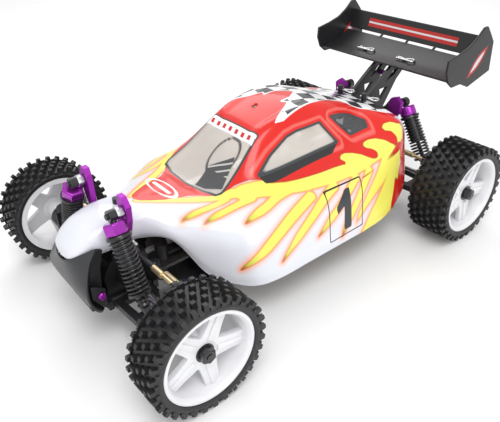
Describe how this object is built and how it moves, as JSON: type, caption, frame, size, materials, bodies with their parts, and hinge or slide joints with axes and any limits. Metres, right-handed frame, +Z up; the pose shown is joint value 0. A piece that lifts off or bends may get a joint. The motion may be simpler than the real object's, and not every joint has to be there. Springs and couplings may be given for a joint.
{
  "type": "radio-controlled buggy",
  "caption": "Four-wheel-drive off-road RC buggy with lift-off painted shell, rear wing, sprung arms, steering and geared drive.",
  "frame": {"origin": "centre of the outline on the ground under the tyres", "axes": "+Y from nose to tail, +X to the car's left, +Z up"},
  "size_m": [0.244, 0.3874, 0.1656],
  "materials": {
    "chassis": "matte",
    "tower_black": "matte",
    "bumper_grey": "matte",
    "arm_black": "matte",
    "hub_black": "matte",
    "link_brass": "satin",
    "shaft_steel": "satin",
    "shock_black": "gloss",
    "shock_rod": "satin",
    "spring_black": "satin",
    "rim_white": "gloss",
    "tyre": "matte",
    "steer_plastic": "matte",
    "gear_plastic": "matte",
    "motor_can": "satin",
    "pinion_steel": "satin",
    "battery_wrap": "gloss",
    "box_plastic": "matte",
    "servo_plastic": "matte",
    "shell_paint": "gloss",
    "wing_plastic": "matte",
    "clip_steel": "gloss"
  },
  "bodies": {
    "chassis": {"chassis_plate": "chassis", "front_gearbox": "tower_black", "rear_gearbox": "tower_black", "front_tower": "tower_black", "rear_tower": "tower_black", "front_bumper": "bumper_grey", "battery": "battery_wrap", "electronics": "box_plastic", "steering_servo": "servo_plastic", "motor": "motor_can", "wing": "wing_plastic"},
    "servo_horn": {"servo_horn": "steer_plastic"},
    "servo_link": {"servo_link": "steer_plastic"},
    "crank_left": {"steering_crank_left": "steer_plastic"},
    "crank_right": {"steering_crank_right": "steer_plastic"},
    "drag_link": {"drag_link": "steer_plastic"},
    "centre_shaft": {"centre_shaft": "gear_plastic"},
    "pinion": {"pinion": "pinion_steel"},
    "shell": {"body_shell": "shell_paint"},
    "clips": {"body_clips": "clip_steel"},
    "front_arm_left": {"front_arm_left": "arm_black"},
    "front_upright_left": {"caster_block_left": "hub_black"},
    "front_camber_link_left": {"front_camber_link_left": "link_brass"},
    "front_dogbone_left": {"front_dogbone_left": "shaft_steel"},
    "front_shock_body_left": {"front_shock_body_left": "shock_black"},
    "front_shock_rod_left": {"front_shock_rod_left": "shock_rod", "front_spring_left": "spring_black"},
    "front_wheel_left": {"front_rim_left": "rim_white", "front_tyre_left": "tyre"},
    "knuckle_left": {"steering_knuckle_left": "hub_black"},
    "tie_rod_left": {"tie_rod_left": "link_brass"},
    "front_arm_right": {"front_arm_right": "arm_black"},
    "front_upright_right": {"caster_block_right": "hub_black"},
    "front_camber_link_right": {"front_camber_link_right": "link_brass"},
    "front_dogbone_right": {"front_dogbone_right": "shaft_steel"},
    "front_shock_body_right": {"front_shock_body_right": "shock_black"},
    "front_shock_rod_right": {"front_shock_rod_right": "shock_rod", "front_spring_right": "spring_black"},
    "front_wheel_right": {"front_rim_right": "rim_white", "front_tyre_right": "tyre"},
    "knuckle_right": {"steering_knuckle_right": "hub_black"},
    "tie_rod_right": {"tie_rod_right": "link_brass"},
    "rear_arm_left": {"rear_arm_left": "arm_black"},
    "rear_upright_left": {"hub_carrier_left": "hub_black"},
    "rear_camber_link_left": {"rear_camber_link_left": "link_brass"},
    "rear_dogbone_left": {"rear_dogbone_left": "shaft_steel"},
    "rear_shock_body_left": {"rear_shock_body_left": "shock_black"},
    "rear_shock_rod_left": {"rear_shock_rod_left": "shock_rod", "rear_spring_left": "spring_black"},
    "rear_wheel_left": {"rear_rim_left": "rim_white", "rear_tyre_left": "tyre"},
    "rear_arm_right": {"rear_arm_right": "arm_black"},
    "rear_upright_right": {"hub_carrier_right": "hub_black"},
    "rear_camber_link_right": {"rear_camber_link_right": "link_brass"},
    "rear_dogbone_right": {"rear_dogbone_right": "shaft_steel"},
    "rear_shock_body_right": {"rear_shock_body_right": "shock_black"},
    "rear_shock_rod_right": {"rear_shock_rod_right": "shock_rod", "rear_spring_right": "spring_black"},
    "rear_wheel_right": {"rear_rim_right": "rim_white", "rear_tyre_right": "tyre"}
  },
  "joints": [
    {"name": "front_suspension_left", "type": "hinge", "parent": "chassis", "child": "front_arm_left", "pos_m": [0.022, -0.15125, 0.0315], "axis": [0, -1, 0], "range_deg": [-8, 15], "stiffness_Nm_per_rad": 12, "springref_deg": -0.86},
    {"name": "front_upright_turn_left", "type": "hinge", "parent": "front_arm_left", "child": "front_upright_left", "pos_m": [0.0735, -0.15125, 0.0315], "axis": [0, -1, 0], "range_deg": [-15, 8]},
    {"name": "front_camber_swing_left", "type": "hinge", "parent": "chassis", "child": "front_camber_link_left", "pos_m": [0.022, -0.1435, 0.064], "axis": [0, -1, 0], "range_deg": [-8, 15]},
    {"name": "front_dogbone_swing_left", "type": "hinge", "parent": "chassis", "child": "front_dogbone_left", "pos_m": [0.0325, -0.15125, 0.0425], "axis": [0, -1, 0], "range_deg": [-8, 15]},
    {"name": "front_shock_swing_left", "type": "hinge", "parent": "chassis", "child": "front_shock_body_left", "pos_m": [0.0285, -0.15825, 0.103], "axis": [0, -1, 0], "range_deg": [-1.44, 2.53]},
    {"name": "front_shock_stroke_left", "type": "slide", "parent": "front_shock_body_left", "child": "front_shock_rod_left", "axis": [0.4258, 0, -0.9048], "range_m": [-0.00989, 0.00537], "deforming": ["front_spring_left"]},
    {"name": "kingpin_left", "type": "hinge", "parent": "front_upright_left", "child": "knuckle_left", "pos_m": [0.084, -0.15125, 0.0425], "axis": [0, 0, 1], "range_deg": [-22, 22]},
    {"name": "tie_rod_swing_left", "type": "hinge", "parent": "drag_link", "child": "tie_rod_left", "pos_m": [0.0325, -0.13525, 0.0545], "axis": [0, -1, 0], "range_deg": [-8, 15]},
    {"name": "front_wheel_spin_left", "type": "hinge", "parent": "knuckle_left", "child": "front_wheel_left", "pos_m": [0.107, -0.15125, 0.0425], "axis": [1, 0, 0], "continuous": true},
    {"name": "front_suspension_right", "type": "hinge", "parent": "chassis", "child": "front_arm_right", "pos_m": [-0.022, -0.15125, 0.0315], "axis": [0, 1, 0], "range_deg": [-8, 15], "stiffness_Nm_per_rad": 12, "springref_deg": -0.86},
    {"name": "front_upright_turn_right", "type": "hinge", "parent": "front_arm_right", "child": "front_upright_right", "pos_m": [-0.0735, -0.15125, 0.0315], "axis": [0, 1, 0], "range_deg": [-15, 8]},
    {"name": "front_camber_swing_right", "type": "hinge", "parent": "chassis", "child": "front_camber_link_right", "pos_m": [-0.022, -0.1435, 0.064], "axis": [0, 1, 0], "range_deg": [-8, 15]},
    {"name": "front_dogbone_swing_right", "type": "hinge", "parent": "chassis", "child": "front_dogbone_right", "pos_m": [-0.0325, -0.15125, 0.0425], "axis": [0, 1, 0], "range_deg": [-8, 15]},
    {"name": "front_shock_swing_right", "type": "hinge", "parent": "chassis", "child": "front_shock_body_right", "pos_m": [-0.0285, -0.15825, 0.103], "axis": [0, 1, 0], "range_deg": [-1.44, 2.53]},
    {"name": "front_shock_stroke_right", "type": "slide", "parent": "front_shock_body_right", "child": "front_shock_rod_right", "axis": [-0.4258, 0, -0.9048], "range_m": [-0.00989, 0.00537], "deforming": ["front_spring_right"]},
    {"name": "kingpin_right", "type": "hinge", "parent": "front_upright_right", "child": "knuckle_right", "pos_m": [-0.084, -0.15125, 0.0425], "axis": [0, 0, 1], "range_deg": [-22, 22]},
    {"name": "tie_rod_swing_right", "type": "hinge", "parent": "drag_link", "child": "tie_rod_right", "pos_m": [-0.0325, -0.13525, 0.0545], "axis": [0, 1, 0], "range_deg": [-8, 15]},
    {"name": "front_wheel_spin_right", "type": "hinge", "parent": "knuckle_right", "child": "front_wheel_right", "pos_m": [-0.107, -0.15125, 0.0425], "axis": [1, 0, 0], "continuous": true},
    {"name": "rear_suspension_left", "type": "hinge", "parent": "chassis", "child": "rear_arm_left", "pos_m": [0.022, 0.12425, 0.0315], "axis": [0, -1, 0], "range_deg": [-8, 15], "stiffness_Nm_per_rad": 16, "springref_deg": -1.07},
    {"name": "rear_upright_turn_left", "type": "hinge", "parent": "rear_arm_left", "child": "rear_upright_left", "pos_m": [0.079, 0.12425, 0.0315], "axis": [0, -1, 0], "range_deg": [-15, 8]},
    {"name": "rear_camber_swing_left", "type": "hinge", "parent": "chassis", "child": "rear_camber_link_left", "pos_m": [0.022, 0.1165, 0.062], "axis": [0, -1, 0], "range_deg": [-8, 15]},
    {"name": "rear_dogbone_swing_left", "type": "hinge", "parent": "chassis", "child": "rear_dogbone_left", "pos_m": [0.026, 0.12425, 0.0425], "axis": [0, -1, 0], "range_deg": [-8, 15]},
    {"name": "rear_shock_swing_left", "type": "hinge", "parent": "chassis", "child": "rear_shock_body_left", "pos_m": [0.033, 0.1325, 0.1], "axis": [0, -1, 0], "range_deg": [-2.28, 4.1]},
    {"name": "rear_shock_stroke_left", "type": "slide", "parent": "rear_shock_body_left", "child": "rear_shock_rod_left", "axis": [0.5085, 0, -0.8611], "range_m": [-0.01211, 0.00655], "deforming": ["rear_spring_left"]},
    {"name": "rear_wheel_spin_left", "type": "hinge", "parent": "rear_upright_left", "child": "rear_wheel_left", "pos_m": [0.101, 0.12425, 0.0425], "axis": [1, 0, 0], "continuous": true},
    {"name": "rear_suspension_right", "type": "hinge", "parent": "chassis", "child": "rear_arm_right", "pos_m": [-0.022, 0.12425, 0.0315], "axis": [0, 1, 0], "range_deg": [-8, 15], "stiffness_Nm_per_rad": 16, "springref_deg": -1.07},
    {"name": "rear_upright_turn_right", "type": "hinge", "parent": "rear_arm_right", "child": "rear_upright_right", "pos_m": [-0.079, 0.12425, 0.0315], "axis": [0, 1, 0], "range_deg": [-15, 8]},
    {"name": "rear_camber_swing_right", "type": "hinge", "parent": "chassis", "child": "rear_camber_link_right", "pos_m": [-0.022, 0.1165, 0.062], "axis": [0, 1, 0], "range_deg": [-8, 15]},
    {"name": "rear_dogbone_swing_right", "type": "hinge", "parent": "chassis", "child": "rear_dogbone_right", "pos_m": [-0.026, 0.12425, 0.0425], "axis": [0, 1, 0], "range_deg": [-8, 15]},
    {"name": "rear_shock_swing_right", "type": "hinge", "parent": "chassis", "child": "rear_shock_body_right", "pos_m": [-0.033, 0.1325, 0.1], "axis": [0, 1, 0], "range_deg": [-2.28, 4.1]},
    {"name": "rear_shock_stroke_right", "type": "slide", "parent": "rear_shock_body_right", "child": "rear_shock_rod_right", "axis": [-0.5085, 0, -0.8611], "range_m": [-0.01211, 0.00655], "deforming": ["rear_spring_right"]},
    {"name": "rear_wheel_spin_right", "type": "hinge", "parent": "rear_upright_right", "child": "rear_wheel_right", "pos_m": [-0.101, 0.12425, 0.0425], "axis": [1, 0, 0], "continuous": true},
    {"name": "steering", "type": "hinge", "parent": "chassis", "child": "crank_left", "pos_m": [0.016, -0.12, 0.05], "axis": [0, 0, 1], "range_deg": [-22, 22]},
    {"name": "crank_right_turn", "type": "hinge", "parent": "chassis", "child": "crank_right", "pos_m": [-0.016, -0.12, 0.05], "axis": [0, 0, 1], "range_deg": [-22, 22]},
    {"name": "drag_link_turn", "type": "hinge", "parent": "crank_left", "child": "drag_link", "pos_m": [0.016, -0.104, 0.05], "axis": [0, 0, 1], "range_deg": [-22, 22]},
    {"name": "servo_horn_turn", "type": "hinge", "parent": "chassis", "child": "servo_horn", "pos_m": [-0.024, -0.072, 0.0635], "axis": [0, 0, 1], "range_deg": [-22, 22]},
    {"name": "servo_link_turn", "type": "hinge", "parent": "servo_horn", "child": "servo_link", "pos_m": [-0.034, -0.072, 0.0663], "axis": [0, 0, 1], "range_deg": [-22, 22]},
    {"name": "drive", "type": "hinge", "parent": "chassis", "child": "centre_shaft", "pos_m": [0, 0, 0.0425], "axis": [0, 1, 0], "continuous": true},
    {"name": "pinion_spin", "type": "hinge", "parent": "chassis", "child": "pinion", "pos_m": [-0.02041, 0.05, 0.0465], "axis": [0, 1, 0], "continuous": true},
    {"name": "shell_lift", "type": "slide", "parent": "chassis", "child": "shell", "axis": [0, 0, 1], "range_m": [0, 0.085]},
    {"name": "clip_pull", "type": "slide", "parent": "shell", "child": "clips", "axis": [1, 0, 0], "range_m": [0, 0.01]}
  ],
  "couplings": [
    {"joint": "front_upright_turn_left", "follows": "front_suspension_left", "ratio": -1},
    {"joint": "front_camber_swing_left", "follows": "front_suspension_left", "ratio": 1},
    {"joint": "front_dogbone_swing_left", "follows": "front_suspension_left", "ratio": 1},
    {"joint": "front_shock_swing_left", "follows": "front_suspension_left", "ratio": 0.155},
    {"joint": "front_shock_stroke_left", "follows": "front_suspension_left", "m_per_rad": -0.037},
    {"joint": "kingpin_left", "follows": "steering", "ratio": 1},
    {"joint": "tie_rod_swing_left", "follows": "front_suspension_left", "ratio": 1},
    {"joint": "front_wheel_spin_left", "follows": "drive", "ratio": 0.4},
    {"joint": "front_upright_turn_right", "follows": "front_suspension_right", "ratio": -1},
    {"joint": "front_camber_swing_right", "follows": "front_suspension_right", "ratio": 1},
    {"joint": "front_dogbone_swing_right", "follows": "front_suspension_right", "ratio": 1},
    {"joint": "front_shock_swing_right", "follows": "front_suspension_right", "ratio": 0.155},
    {"joint": "front_shock_stroke_right", "follows": "front_suspension_right", "m_per_rad": -0.037},
    {"joint": "kingpin_right", "follows": "steering", "ratio": 1},
    {"joint": "tie_rod_swing_right", "follows": "front_suspension_right", "ratio": 1},
    {"joint": "front_wheel_spin_right", "follows": "drive", "ratio": 0.4},
    {"joint": "rear_upright_turn_left", "follows": "rear_suspension_left", "ratio": -1},
    {"joint": "rear_camber_swing_left", "follows": "rear_suspension_left", "ratio": 1},
    {"joint": "rear_dogbone_swing_left", "follows": "rear_suspension_left", "ratio": 1},
    {"joint": "rear_shock_swing_left", "follows": "rear_suspension_left", "ratio": 0.26},
    {"joint": "rear_shock_stroke_left", "follows": "rear_suspension_left", "m_per_rad": -0.0455},
    {"joint": "rear_wheel_spin_left", "follows": "drive", "ratio": 0.4},
    {"joint": "rear_upright_turn_right", "follows": "rear_suspension_right", "ratio": -1},
    {"joint": "rear_camber_swing_right", "follows": "rear_suspension_right", "ratio": 1},
    {"joint": "rear_dogbone_swing_right", "follows": "rear_suspension_right", "ratio": 1},
    {"joint": "rear_shock_swing_right", "follows": "rear_suspension_right", "ratio": 0.26},
    {"joint": "rear_shock_stroke_right", "follows": "rear_suspension_right", "m_per_rad": -0.0455},
    {"joint": "rear_wheel_spin_right", "follows": "drive", "ratio": 0.4},
    {"joint": "crank_right_turn", "follows": "steering", "ratio": 1},
    {"joint": "drag_link_turn", "follows": "steering", "ratio": -1},
    {"joint": "servo_horn_turn", "follows": "steering", "ratio": 1},
    {"joint": "servo_link_turn", "follows": "steering", "ratio": -1},
    {"joint": "pinion_spin", "follows": "drive", "ratio": -2.7143}
  ]
}
